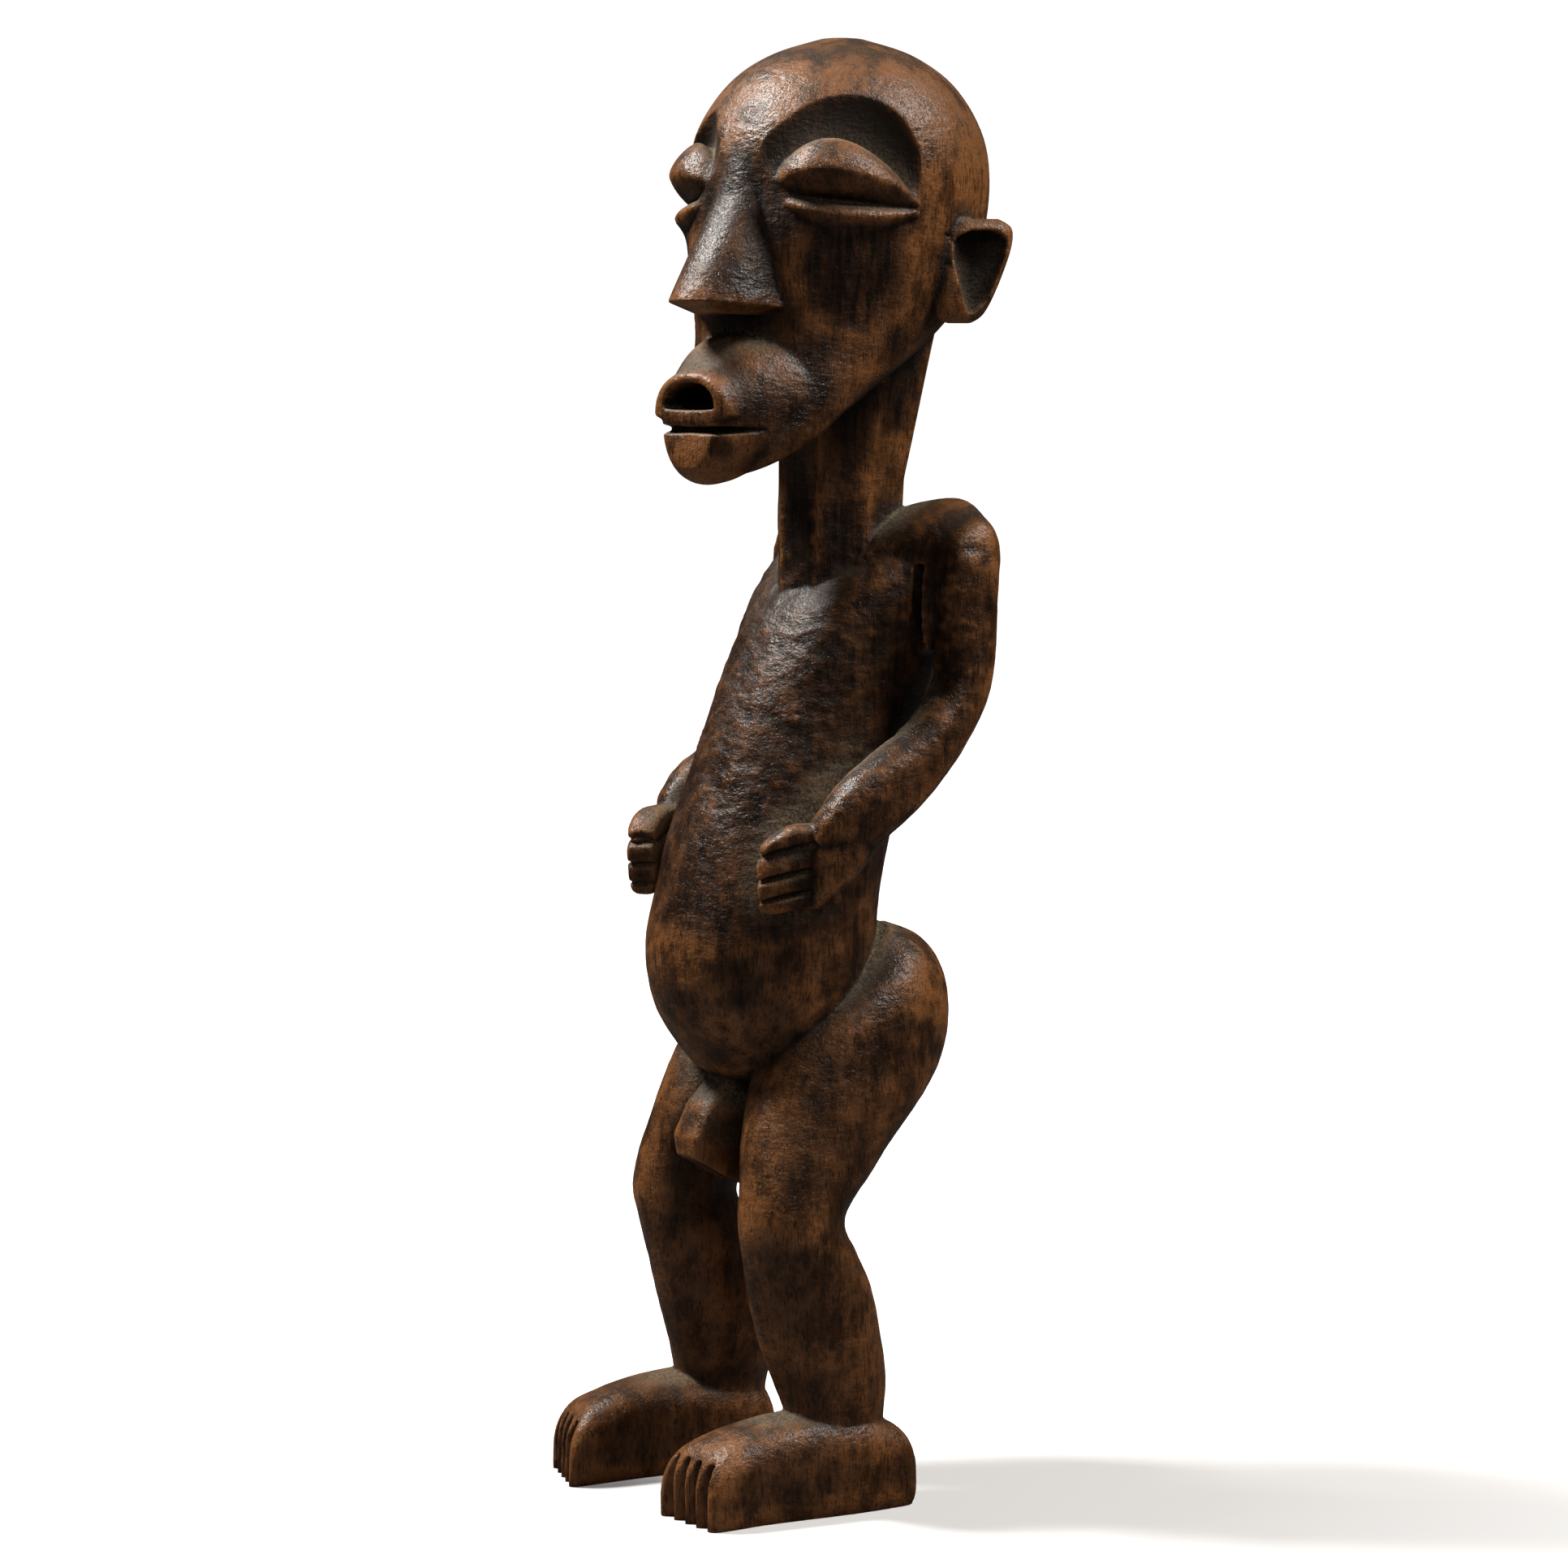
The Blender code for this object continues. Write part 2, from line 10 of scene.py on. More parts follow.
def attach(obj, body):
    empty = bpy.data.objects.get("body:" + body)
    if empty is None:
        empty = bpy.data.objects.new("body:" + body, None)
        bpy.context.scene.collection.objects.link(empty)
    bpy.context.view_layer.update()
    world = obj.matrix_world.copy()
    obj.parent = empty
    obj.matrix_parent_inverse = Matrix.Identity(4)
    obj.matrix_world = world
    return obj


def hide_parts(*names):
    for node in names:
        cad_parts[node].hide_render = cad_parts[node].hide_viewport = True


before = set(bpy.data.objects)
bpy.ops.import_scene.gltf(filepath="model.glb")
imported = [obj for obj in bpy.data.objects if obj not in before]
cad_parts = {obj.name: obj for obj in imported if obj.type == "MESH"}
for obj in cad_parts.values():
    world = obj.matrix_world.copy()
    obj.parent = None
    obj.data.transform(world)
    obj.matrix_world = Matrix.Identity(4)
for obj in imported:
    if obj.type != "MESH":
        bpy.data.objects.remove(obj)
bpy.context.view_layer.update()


# Trunk and shoulders. The figure is one block of dark hardwood, shaped with an adze and a knife.
# Its round trunk leans back from a full belly to a shallow chest. Here every form is a skin lofted
# over a few cross-sections, and all the skins are grown into one wood surface at the end.
HEIGHT = 0.500
U = HEIGHT / 500
SIDES = 64
STEPS = 6


def section(centre, side, depth, power=2.0, shrink=1.0):
    """One cross-section: its centre, the two half-axes as vectors, how square it is, and how much
    shorter the second half-axis is on its negative side."""
    return [Vector(centre), Vector(side), Vector(depth), power, shrink]


def rib(front, back, half_width, power=2.0, x=0.0, widest=0.5):
    """A section drawn in profile, by its front and back points (y, z) and its half width, which it
    has at the share widest of the way from front to back."""
    front_point = Vector((x, front[0], front[1])) * U
    back_point = Vector((x, back[0], back[1])) * U
    middle = front_point.lerp(back_point, widest)
    side, shrink = (half_width * U, 0, 0), (1 - widest) / widest
    return section(middle, side, front_point - middle, power, shrink)


def blend_values(a, b, c, d, t):
    """Catmull-Rom between b and c."""
    return (2 * b + (c - a) * t + (2 * a - 5 * b + 4 * c - d) * t * t
            + (3 * b - a - 3 * c + d) * t * t * t) * 0.5


def smooth_sections(sections):
    last = len(sections) - 1
    result = []
    for k in range(last):
        near = [sections[max(k - 1, 0)], sections[k], sections[k + 1], sections[min(k + 2, last)]]
        for step in range(STEPS):
            t = step / STEPS
            result.append([blend_values(*values, t) for values in zip(*near)])
    return result + [sections[-1]]


def outline(centre, side, depth, power, shrink, sides, turn):
    points = []
    for k in range(sides):
        angle = 2 * pi * k / sides + turn
        c, s = cos(angle), sin(angle)
        reach = (abs(c) ** power + abs(s) ** power) ** (-1 / power)
        along = s * reach if s > 0 else s * reach * shrink
        points.append(centre + side * (c * reach) + depth * along)
    return points


def new_object(name, mesh_data):
    mesh = bpy.data.meshes.new(name)
    mesh_data.to_mesh(mesh)
    mesh_data.free()
    item = bpy.data.objects.new(name, mesh)
    bpy.context.scene.collection.objects.link(item)
    return item


def loft(name, sections, smooth=True, sides=SIDES, turn=0.0):
    """A closed skin over the sections, with a point at the middle of each end."""
    bm = bmesh.new()
    rings = []
    for centre, side, depth, power, shrink in (smooth_sections(sections) if smooth else sections):
        points = outline(centre, side, depth, power, shrink, sides, turn)
        rings.append([bm.verts.new(p) for p in points])
    for lower, upper in zip(rings, rings[1:]):
        for k in range(sides):
            n = (k + 1) % sides
            bm.faces.new((lower[k], lower[n], upper[n], upper[k]))
    for ring, centre in ((rings[0], sections[0][0]), (rings[-1], sections[-1][0])):
        tip = bm.verts.new(centre)
        for k in range(sides):
            bm.faces.new((ring[k], ring[(k + 1) % sides], tip))
    bmesh.ops.recalc_face_normals(bm, faces=bm.faces)
    if bm.calc_volume(signed=True) < 0:
        bmesh.ops.reverse_faces(bm, faces=bm.faces)
    return new_object(name, bm)


def sweep(name, stations, up=(0, 0, 1), **options):
    """A limb along a path. A station is (x, y, z, half size across, half size along up, power);
    the power may be left out."""
    centres = [Vector(s[:3]) * U for s in stations]
    sections = []
    for k, (x, y, z, across, along, *power) in enumerate(stations):
        tangent = (centres[min(k + 1, len(centres) - 1)] - centres[max(k - 1, 0)]).normalized()
        side = tangent.cross(Vector(up)).normalized()
        upright = side.cross(tangent).normalized()
        sections.append(section(centres[k], side * across * U, upright * along * U, *power))
    return loft(name, sections, **options)


def bake(item):
    """Replace the item's mesh by what its modifiers make of it."""
    graph = bpy.context.evaluated_depsgraph_get()
    graph.update()
    mesh = bpy.data.meshes.new_from_object(item.evaluated_get(graph))
    item.modifiers.clear()
    item.data = mesh


def cut(item, cutter):
    """Take the cutter out of the item, and drop the cutter."""
    modifier = item.modifiers.new("cut", "BOOLEAN")
    modifier.operation = "DIFFERENCE"
    modifier.solver = "EXACT"
    modifier.object = cutter
    bake(item)
    bpy.data.objects.remove(cutter, do_unlink=True)
    return item


def move(item, matrix):
    item.data.transform(matrix)
    return item


def copied(item):
    twin = item.copy()
    twin.data = item.data.copy()
    bpy.context.scene.collection.objects.link(twin)
    return twin


def mirrored(item):
    """The same form on the other side of the figure."""
    twin = move(copied(item), Matrix.Scale(-1, 4, (1, 0, 0)))
    twin.data.flip_normals()
    return twin


def make_torso():
    """Round trunk leaning back from a full belly to a shallow chest, and the shoulders' yoke."""
    trunk = loft("trunk", [
        rib((-12, 141), (4, 141), 8),
        rib((-25, 146), (16, 145), 20),
        rib((-33, 153), (25, 152), 28.6),
        rib((-41, 165), (31, 164), 35.8),
        rib((-45.5, 178), (33, 178), 39),
        rib((-46.5, 190), (33.5, 190), 39.8),
        rib((-44.5, 202), (34, 202), 39.3),
        rib((-37.5, 227), (39, 227), 38.2),
        rib((-30, 247), (46, 248), 37.2, widest=0.52),
        rib((-21.5, 269), (55, 271), 37.3, widest=0.54),
        rib((-11.5, 289), (60, 297), 40, widest=0.57),
        rib((-4, 302), (60.5, 318), 42, widest=0.6),
        rib((3, 310), (57.5, 333), 41.5, widest=0.6),
        rib((11, 317), (50, 339), 37, widest=0.6),
        rib((20, 325), (42, 341), 24),
    ])
    yoke = loft("yoke", [
        section(Vector((x, y, z)) * U, Vector((0, hy, rise)) * U, Vector((0, 0, hz)) * U, 2.6)
        for x, y, z, hy, rise, hz in (
            (-58.3, 47, 320, 4, 1, 6), (-56, 47, 321, 8.5, 3, 11.5), (-49, 45.5, 319, 12, 5, 17),
            (-38, 41, 315.5, 16, 8.5, 21), (-20, 34.5, 312, 23, 13, 22), (0, 30, 310, 27, 16, 21),
            (20, 34.5, 313, 23, 13, 24), (38, 41, 317, 16, 8.5, 24), (49, 44, 319.5, 12, 4.5, 18.3),
            (55.8, 44.5, 322.5, 9.5, 2, 12), (58.6, 45, 322, 4, 1, 6.5))
    ])
    return [trunk, yoke]


torso = make_torso()


# Neck. A long eight-sided post of the same wood, left with its knife edges. It stands on the yoke
# of the shoulders and flares a little into the skull.
NECK_AXIS = Vector((0, 26 * U, 0))


def make_neck():
    """Eight-sided column, slightly flared into the skull."""
    sections = []
    for z, lean, radius in (
            (300, 0, 22.6), (335, 0, 22.8), (350, 0.5, 23.2), (385, 4.8, 27), (415, 8, 31)):
        centre = NECK_AXIS + Vector((0, lean, z)) * U
        sections.append(section(centre, (radius * U, 0, 0), (0, radius * U, 0)))
    return [loft("neck", sections, smooth=False, sides=8, turn=radians(-9))]


pieces = make_neck()


# Head, turned to the figure's left. A shaved round skull runs out into a long jaw, with big shut
# eyes under arched rims, a straight wedge of a nose, a pursed round mouth and cupped ears. The
# sockets, the mouth and the hollows of the ears are cut into the block.
HEAD_TURN = radians(16)
SHORT_SOCKET = 0.65
CHEEK_TURN = radians(50)
GROOVE_WIDTH = 2.2 * U
GROOVE_DEPTH = 2.8 * U
CRACKS = (((47.6, -3, 433), (47.4, 3.5, 430)), ((47.8, -7, 426), (47.6, 1, 421.5)))
CRACK_WIDTH = 0.8 * U
CRACK_DEPTH = 2.2 * U


def head_rib(back, front, half_width, widest=0.5):
    """A section of the head, drawn in its own profile by its reach forward and upward."""
    return rib((-front[0], front[1]), (-back[0], back[1]), half_width, widest=widest)


def make_skull():
    """Ball of the cranium running out into a long forward jaw."""
    return loft("skull", [
        head_rib((-8, 499.6), (6, 499.8), 7),
        head_rib((-25, 493.5), (21.5, 495), 24),
        head_rib((-39.5, 483), (35.5, 487), 37.5),
        head_rib((-49, 467.5), (46, 475), 47),
        head_rib((-52.5, 449), (52.5, 462), 50.5),
        head_rib((-50, 430), (54, 446), 49.5),
        head_rib((-43, 414), (57, 428), 47, 0.53),
        head_rib((-30, 402), (58, 414), 43.5, 0.58),
        head_rib((-12, 392), (56, 402), 40, 0.65),
        head_rib((8, 381.5), (56.5, 391), 36.5, 0.66),
        head_rib((26, 371), (61, 379), 32, 0.66),
        head_rib((40, 361.5), (66, 367), 27, 0.62),
        head_rib((51, 355), (69, 358), 18, 0.55),
        head_rib((57, 352.5), (67, 353), 9),
    ])


def eye_line(t):
    """Point and outward direction along the slit of the left eye, from the nose to the temple."""
    angle = radians(12 + 70 * t)
    outward = Vector((sin(angle), -cos(angle), 0))
    along = max(t, 0)
    point = Vector((9 + 40 * along ** 0.85, -(48.5 - 32 * along ** 1.7), 446.5 - 6 * t)) * U
    return point, outward


def lid(name, rise, half_height, bulge, lift, power):
    """Crescent of one eyelid, pointed at both corners, its crest above its middle by the lift."""
    sections = []
    for k in range(17):
        t = k / 16
        point, outward = eye_line(t)
        full = max(sin(pi * t), 0.08) ** 0.7
        centre = point + Vector((0, 0, rise * full * U)) - outward * (1 - full) * U
        crest = (outward * bulge + Vector((0, 0, lift))) * full * U
        sections.append(section(centre, crest, (0, 0, half_height * full * U), power))
    return loft(name, sections)


def make_socket(far_side):
    """Scoop under the brow that leaves a sharp arched rim above the eye. The left one is deepest at
    the temple; the right one stops short of it, below a full brow."""
    sections = []
    for k in range(17):
        t = k / 16
        point, outward = eye_line(t * 1.15 - 0.08)
        full = max(1 - abs(2 * t - 1) ** (1.7 if t < 0.5 else 3), 0.02) ** 0.5
        low = SHORT_SOCKET * min(max((t - 0.3) / 0.4, 0), 1) if far_side else 0
        depth = 2.5 + 5 * t * (1 - low)
        centre = point + outward * (20 - depth) * U + Vector((0, 0, 10 - 7 * low)) * U
        side = outward * (20 - 12 * (1 - full)) * U
        up = (Vector((0, 0, 35.5)) - outward * 10) * full * (1 - low) * U
        sections.append(section(centre, side, up, 2.0, 0.8))
    return loft("socket", sections)


def make_nose():
    """Long straight wedge with a keen ridge, flared to flat wings and cut off flat below."""
    sections = []
    for ridge, base, half_width, power in (
            ((47, 475), (38, 474), 6.5, 2.2), ((53, 460), (40, 459), 9.5, 2.4),
            ((57.5, 445.5), (42, 445), 12, 2.5), ((63.5, 436), (43, 434), 14, 2.5),
            ((69, 428.5), (44, 427), 15.5, 2.4), ((77.5, 416), (46, 414), 18, 2.2),
            ((81.5, 410.4), (47, 408), 20, 2.0)):
        front = Vector((0, -ridge[0], ridge[1])) * U
        root = Vector((0, -base[0], base[1])) * U
        sections.append(section(root, (half_width * U, 0, 0), front - root, power, 0.5))
    sections.append(section((0, -48 * U, 405 * U), (15 * U, 0, 0), (0, -22 * U, 1.5 * U), 1.8, 0.5))
    return loft("nose", sections, smooth=False)


def make_cheek():
    """Low pillow on the cheekbone, under the eye."""
    outward = Vector((sin(CHEEK_TURN), -cos(CHEEK_TURN), 0))
    across = Vector((cos(CHEEK_TURN), sin(CHEEK_TURN), 0))
    return loft("cheek", [
        section(Vector((28, -33, 423 + rise)) * U, across * half * U, outward * depth * U)
        for rise, half, depth in (
            (-15, 3, 3), (-12.5, 11, 7), (-7, 16.5, 10), (0, 19, 11), (7, 16.5, 10), (12.5, 11, 7),
            (15, 3, 3))
    ])


def make_muzzle():
    """Forward jaw and chin, a barrel that grows out below the cheeks."""
    return loft("muzzle", [
        section((0, -y * U, middle * U), (half_width * U, 0, 0), (0, 0, (top - middle) * U), 2.2,
                (middle - low) / (top - middle))
        for y, low, middle, top, half_width in (
            (20, 381, 388, 395, 31), (34, 371, 383, 397, 32), (48, 358.5, 377, 400, 28.2),
            (60, 351.5, 373, 398.5, 23), (67, 349.5, 372, 393.5, 19.5), (72, 350, 372, 388.5, 16.5),
            (75.5, 351.8, 371, 384, 13.5), (77.6, 355, 369, 379, 10))
    ])


def make_lips():
    """Pursed lips: a half-round ring, flat below, around a half-moon mouth."""
    lips = loft("lips", [
        section((0, -y * U, 373 * U), (half_width * U, 0, 0), (0, 0, (top - 373) * U), 2.3, 0.2)
        for y, top, half_width in (
            (60, 392, 21), (69, 390, 18), (74, 387.8, 16.6), (76.8, 386.6, 15.9),
            (77.8, 385.4, 14.8))
    ], smooth=False)
    mouth = loft("mouth", [
        section((0, -y * U, 375 * U), (half_width * U, 0, 0), (0, 0, (top - 375) * U), 2.2, 0.1)
        for y, top, half_width in ((60, 379, 6), (66, 382, 10), (77, 383.6, 11.3), (84, 385, 12.5))
    ], smooth=False)
    return lips, mouth


def make_chin_groove():
    """Undercut below the lower lip."""
    return loft("chin groove", [
        section((x * U, (-91 + x * x / 40) * U, 367.8 * U), (0, 17 * U, 0), (0, 0, 2 * U), 2.0)
        for x in (-24, -16, -8, 0, 8, 16, 24)
    ], smooth=False)


def make_ear():
    """Flat shell standing off the head, hollowed in front."""
    lean = radians(57)
    back = Vector((cos(lean), sin(lean), 0))
    face = Vector((sin(lean), -cos(lean), 0))
    shell = loft("ear", [
        section((Vector((45, 0, z)) + back * (start + end) / 2) * U, back * (end - start) / 2 * U,
                face * thick * U, 2.4)
        for z, start, end, thick in (
            (403, 2, 10, 2.5), (405.5, -2, 14, 4.5), (411, -3, 17.5, 5.5), (420, -2, 21.5, 6),
            (429, 0, 24.5, 6), (435, 2, 24.5, 5), (438, 5, 20, 2.5))
    ])
    hollow = loft("ear hollow", [
        section((Vector((45, 0, z)) + back * centre + face * 7) * U, back * half * U, face * 8 * U)
        for z, centre, half in (
            (406.5, 9, 1), (411, 10.5, 4.5), (420, 11.5, 8.2), (427, 12, 10), (431.5, 12.5, 9.3),
            (434, 13, 4))
    ])
    return cut(shell, hollow)


def make_head():
    """Skull, sockets, eyes, nose, mouth and ears, turned to the figure's left on the neck."""
    skull, muzzle = make_skull(), make_muzzle()
    lips, mouth = make_lips()
    cut(skull, make_socket(False))
    right_socket = make_socket(True)
    cut(skull, mirrored(right_socket))
    bpy.data.objects.remove(right_socket, do_unlink=True)
    cut(muzzle, make_chin_groove())
    cut(muzzle, copied(mouth))
    cut(lips, mouth)
    pieces = [skull, muzzle, lips, make_nose()]
    upper = lid("upper lid", 10, 10.5, 9.5, 0, 1.4)
    lower = lid("lower lid", -6.3, 6, 7.6, 1.6, 1.5)
    for part in (upper, lower, make_cheek(), make_ear()):
        pieces += [part, mirrored(part)]
    turn = Matrix.Translation(NECK_AXIS) @ Matrix.Rotation(HEAD_TURN, 4, "Z")
    return [move(piece, turn) for piece in pieces]


def groove(start, end, inward, width=GROOVE_WIDTH, depth=GROOVE_DEPTH):
    """A V-shaped cutter along start to end, whose point reaches depth below that line."""
    start, end, inward = Vector(start), Vector(end), Vector(inward).normalized()
    along = (end - start).normalized()
    across = along.cross(inward).normalized() * width
    over = inward * depth
    sections = []
    for centre in (start, end):
        sections.append([centre + over, centre - over + across, centre - over - across])
    bm = bmesh.new()
    rings = [[bm.verts.new(p) for p in ring] for ring in sections]
    for k in range(3):
        n = (k + 1) % 3
        bm.faces.new((rings[0][k], rings[0][n], rings[1][n], rings[1][k]))
    bm.faces.new(rings[0])
    bm.faces.new(rings[1])
    bmesh.ops.recalc_face_normals(bm, faces=bm.faces)
    if bm.calc_volume(signed=True) < 0:
        bmesh.ops.reverse_faces(bm, faces=bm.faces)
    return new_object("groove", bm)


head = make_head()
on_neck = Matrix.Translation(NECK_AXIS) @ Matrix.Rotation(HEAD_TURN, 4, "Z")
skull, left_ear = head[0], head[-2]
for start, end in CRACKS:
    for piece in (skull, left_ear):
        crack = groove(Vector(start) * U, Vector(end) * U, (-1, 0.1, 0), CRACK_WIDTH, CRACK_DEPTH)
        cut(piece, move(crack, on_neck))
pieces += head


# Loin block. A plain four-sided block of the same wood that hangs from the belly between the
# thighs, cut off flat and slanting below.
def make_loin_block():
    """Tapering four-sided block that hangs from the belly between the thighs."""
    return [loft("loin block", [
        section(Vector((0, (front + back) / 2, z)) * U, (half * U, 0, 0),
                (0, (back - front) / 2 * U, tilt * U), 5)
        for z, front, back, half, tilt in (
            (150, -20, 4, 7.5, 0), (141, -28.5, 0, 8, 0), (135, -33, -5, 8.8, -1.5),
            (121, -38.5, -16, 9.2, -5), (113.5, -37.5, -18.5, 8, -5.5))
    ], smooth=False)]


pieces += make_loin_block()


# Arms and hands. The faceted arms are cut free of the sides, and the hands lie flat on the belly,
# each a thumb above a block of fingers, parted by knife cuts.
FAR_HAND_TURN = radians(5)
FAR_ARM_SAG = 5
ARM_SQUARENESS = 2.8
ARMPIT_WIDTH = 2.2 * U
ARMPIT_DEPTH = 4.5 * U
CUTS_BETWEEN_FINGERS = ((230.8, 222.2, 215.1), (223.8, 216, 209.2))
CUTS_AT_FINGERTIPS = (224.5, 217, 210.3)
TIP_CUT_DEPTH = 2.2 * U


def make_arm(sag=0.0):
    """Upper arm hanging free of the side, bent elbow, and forearm coming forward to the belly. It
    hangs lower at the elbow by the sag."""
    stations = [
        (48, 44, 330, 8, 8.5), (49.5, 44, 323, 10, 10.4), (50, 43.5, 308, 10, 10.6),
        (50.5, 43.3, 289, 9.8, 9.4), (51, 39.5, 275.5, 9.8, 8.8), (51.8, 27.5, 261, 9.8, 10),
        (52.2, 14.5, 250.5, 9.6, 11.8), (51.5, 2, 241.5, 9, 12.4), (49.5, -6, 233, 7.6, 11.5),
        (47, -11, 227.5, 5.5, 9)]
    lowered = []
    for k, (x, y, z, across, along) in enumerate(stations):
        drop = sag * sin(pi * k / (len(stations) - 1))
        lowered.append((x, y, z - drop, across, along, ARM_SQUARENESS))
    return sweep("arm", lowered, up=(0, -1, 0.25))


def cut_armpits(pieces):
    """The narrow groove between the side of the chest and the upper arm."""
    for side in (-1, 1):
        top, bottom = Vector((side * 42.5, 33, 322)) * U, Vector((side * 40.5, 30, 268)) * U
        crease = groove(top, bottom, (-0.2 * side, 1, 0), ARMPIT_WIDTH, ARMPIT_DEPTH)
        for piece in pieces:
            cut(piece, copied(crease))
        bpy.data.objects.remove(crease, do_unlink=True)


def make_hand():
    """Flat hand laid on the belly: the square back of the hand, a lower block of fingers and a
    thumb along the top of it, with the cuts between them."""
    outward = Vector((0.85, -0.53, 0))
    back = loft("back of hand", [
        section(Vector((x, y, z)) * U, outward * thick * U, (0, 0, half * U), power)
        for x, y, z, thick, half, power in (
            (51.5, 10, 241, 6, 10, 2.4), (51, 4, 235.5, 7.2, 12, 2.6),
            (50.3, -1, 230.5, 7.8, 12.5, 2.8), (49.2, -6, 226, 7.8, 12.3, 3),
            (47.5, -11, 221.8, 7.2, 11.6, 3.4), (46.1, -14, 219.6, 6.6, 10.8, 3.6),
            (45.5, -15.2, 219.4, 5, 9.4, 3.4))
    ])
    fingers = sweep("fingers", [
        (48, -8, 220.5, 5.6, 10.8, 3.4), (44.3, -16, 219, 5.8, 11, 3.4),
        (41, -23, 217.5, 6, 10.4, 3.4), (38, -28, 216.6, 5.8, 10.2, 3.4),
        (36, -30.6, 216.3, 4.8, 9.6, 3.4)])
    thumb = sweep("thumb", [
        (48.5, -6.5, 233.4, 5.6, 3.6, 2.6), (44.9, -14.7, 232.6, 6, 4, 2.8),
        (41.7, -21.5, 231.4, 6, 4.6, 2.8), (38.8, -26.8, 228.6, 5.8, 3.6, 2.8),
        (36.8, -29.6, 226.8, 4.8, 2.2, 2.6)])
    for start_height, end_height in zip(*CUTS_BETWEEN_FINGERS):
        start = Vector((50.5, -16, start_height)) * U
        end = Vector((37.8, -39.5, end_height)) * U
        for part in (fingers, thumb):
            cut(part, groove(start, end, -outward))
    for height in CUTS_AT_FINGERTIPS:
        start, end = Vector((41, -34.5, height)) * U, Vector((32, -27.5, height + 1)) * U
        for part in (fingers, thumb):
            cut(part, groove(start, end, (0.61, 0.79, 0), GROOVE_WIDTH, TIP_CUT_DEPTH))
    return [back, fingers, thumb]


right_arm = make_arm(FAR_ARM_SAG)
arms = [make_arm(), mirrored(right_arm)]
bpy.data.objects.remove(right_arm, do_unlink=True)
cut_armpits(torso + arms)
pieces += torso + arms
swing = Matrix.Translation((-1.5 * U, 0, -1.5 * U)) @ Matrix.Rotation(FAR_HAND_TURN, 4, "Z")
for part in make_hand():
    pieces += [part, move(mirrored(part), swing)]


# Legs and feet. Heavy buttocks and thighs run forward to bent knees, the shins go straight down,
# and the feet are thick blocks with an upright row of toes cut into the front.
FOOT_TURNS = (radians(-5), radians(-8))
FOOT_FORWARD = (-0.5 * U, 4 * U)
ANKLE_X = 37.5 * U
TOES = 5
TOE_CUT_HEIGHT = 22 * U
TOE_CUT_WIDTH = 3.2 * U
TOE_CUT_DEPTH = 3.8 * U
TOE_SLANT = 0.18


def make_leg():
    """Buttock and heavy thigh running forward to the knee, then the shin going straight down."""
    return loft("leg", [
        rib((4, 175), (30, 198), 12, 2.0, 22),
        rib((-6, 169), (42, 192.5), 20, 2.0, 23),
        rib((-14, 162), (49.3, 180.5), 23.5, 2.1, 24),
        rib((-21, 152), (51, 165), 24, 2.1, 25),
        rib((-26, 141), (46, 149.5), 23, 2.1, 27),
        rib((-30, 129), (31.8, 133), 21, 2.1, 29.3),
        rib((-33.5, 115), (15.6, 116.5), 18.6, 2.0, 32.5),
        rib((-35, 101), (2.5, 101), 17.6, 2.0, 34.6),
        rib((-33, 90), (8, 87), 18.2, 2.0, 33.4),
        rib((-29.5, 76), (14, 75), 18.8, 2.1, 32),
        rib((-24.5, 56), (18.5, 56), 18.4, 2.2, 32.2),
        rib((-20, 42), (20, 42), 16.4, 2.1, 34),
        rib((-17.3, 30), (17.5, 30), 13.6, 2.1, 36.3),
        rib((-17, 14), (15, 14), 13, 2.1, 37),
    ])


def make_foot():
    """Block foot, highest at the ankle, with an upright row of toes cut in front."""
    foot = loft("foot", [
        section((shift * U, -y * U, (top + low) / 2 * U), (half * U, 0, 0),
                (0, 0, (top - low) / 2 * U), power)
        for y, shift, half, low, top, power in (
            (-23.4, 0, 8.5, 3, 15, 2.6), (-22.4, 0, 12, -2, 21, 2.8), (-19, 0, 14.8, -5, 26.5, 3),
            (-12, 0, 15.8, -6, 30, 3), (-4, 0, 16.5, -6, 32.3, 3), (8, 0, 16.5, -6, 33.5, 3),
            (24, -0.5, 16, -6, 33, 3), (38, -1, 15.8, -6, 30.5, 3), (48, -1, 16, -6, 27, 3.2),
            (53.5, -1, 15.8, -6, 23, 3.4), (56.5, -1, 15, -6, 18, 3.6), (57.6, -1, 14, -6, 14, 3.6))
    ])
    slant = Matrix.Identity(4)
    slant[1][0] = TOE_SLANT
    move(foot, slant)
    for k in range(1, TOES):
        x = (-16.5 + 31 * k / TOES) * U
        front = -57.5 * U + TOE_SLANT * x
        bottom = Vector((x, front + 2 * U, -8 * U))
        top = Vector((x, front + 2.5 * U, TOE_CUT_HEIGHT))
        cut(foot, groove(bottom, top, (0, 1, 0), TOE_CUT_WIDTH, TOE_CUT_DEPTH))
    return foot


leg = make_leg()
pieces += [leg, mirrored(leg)]
foot = make_foot()
feet = (foot, mirrored(foot))
for item, x, forward, turn in zip(feet, (ANKLE_X, -ANKLE_X), FOOT_FORWARD, FOOT_TURNS):
    pieces.append(move(item, Matrix.Translation((x, -forward, 0)) @ Matrix.Rotation(turn, 4, "Z")))


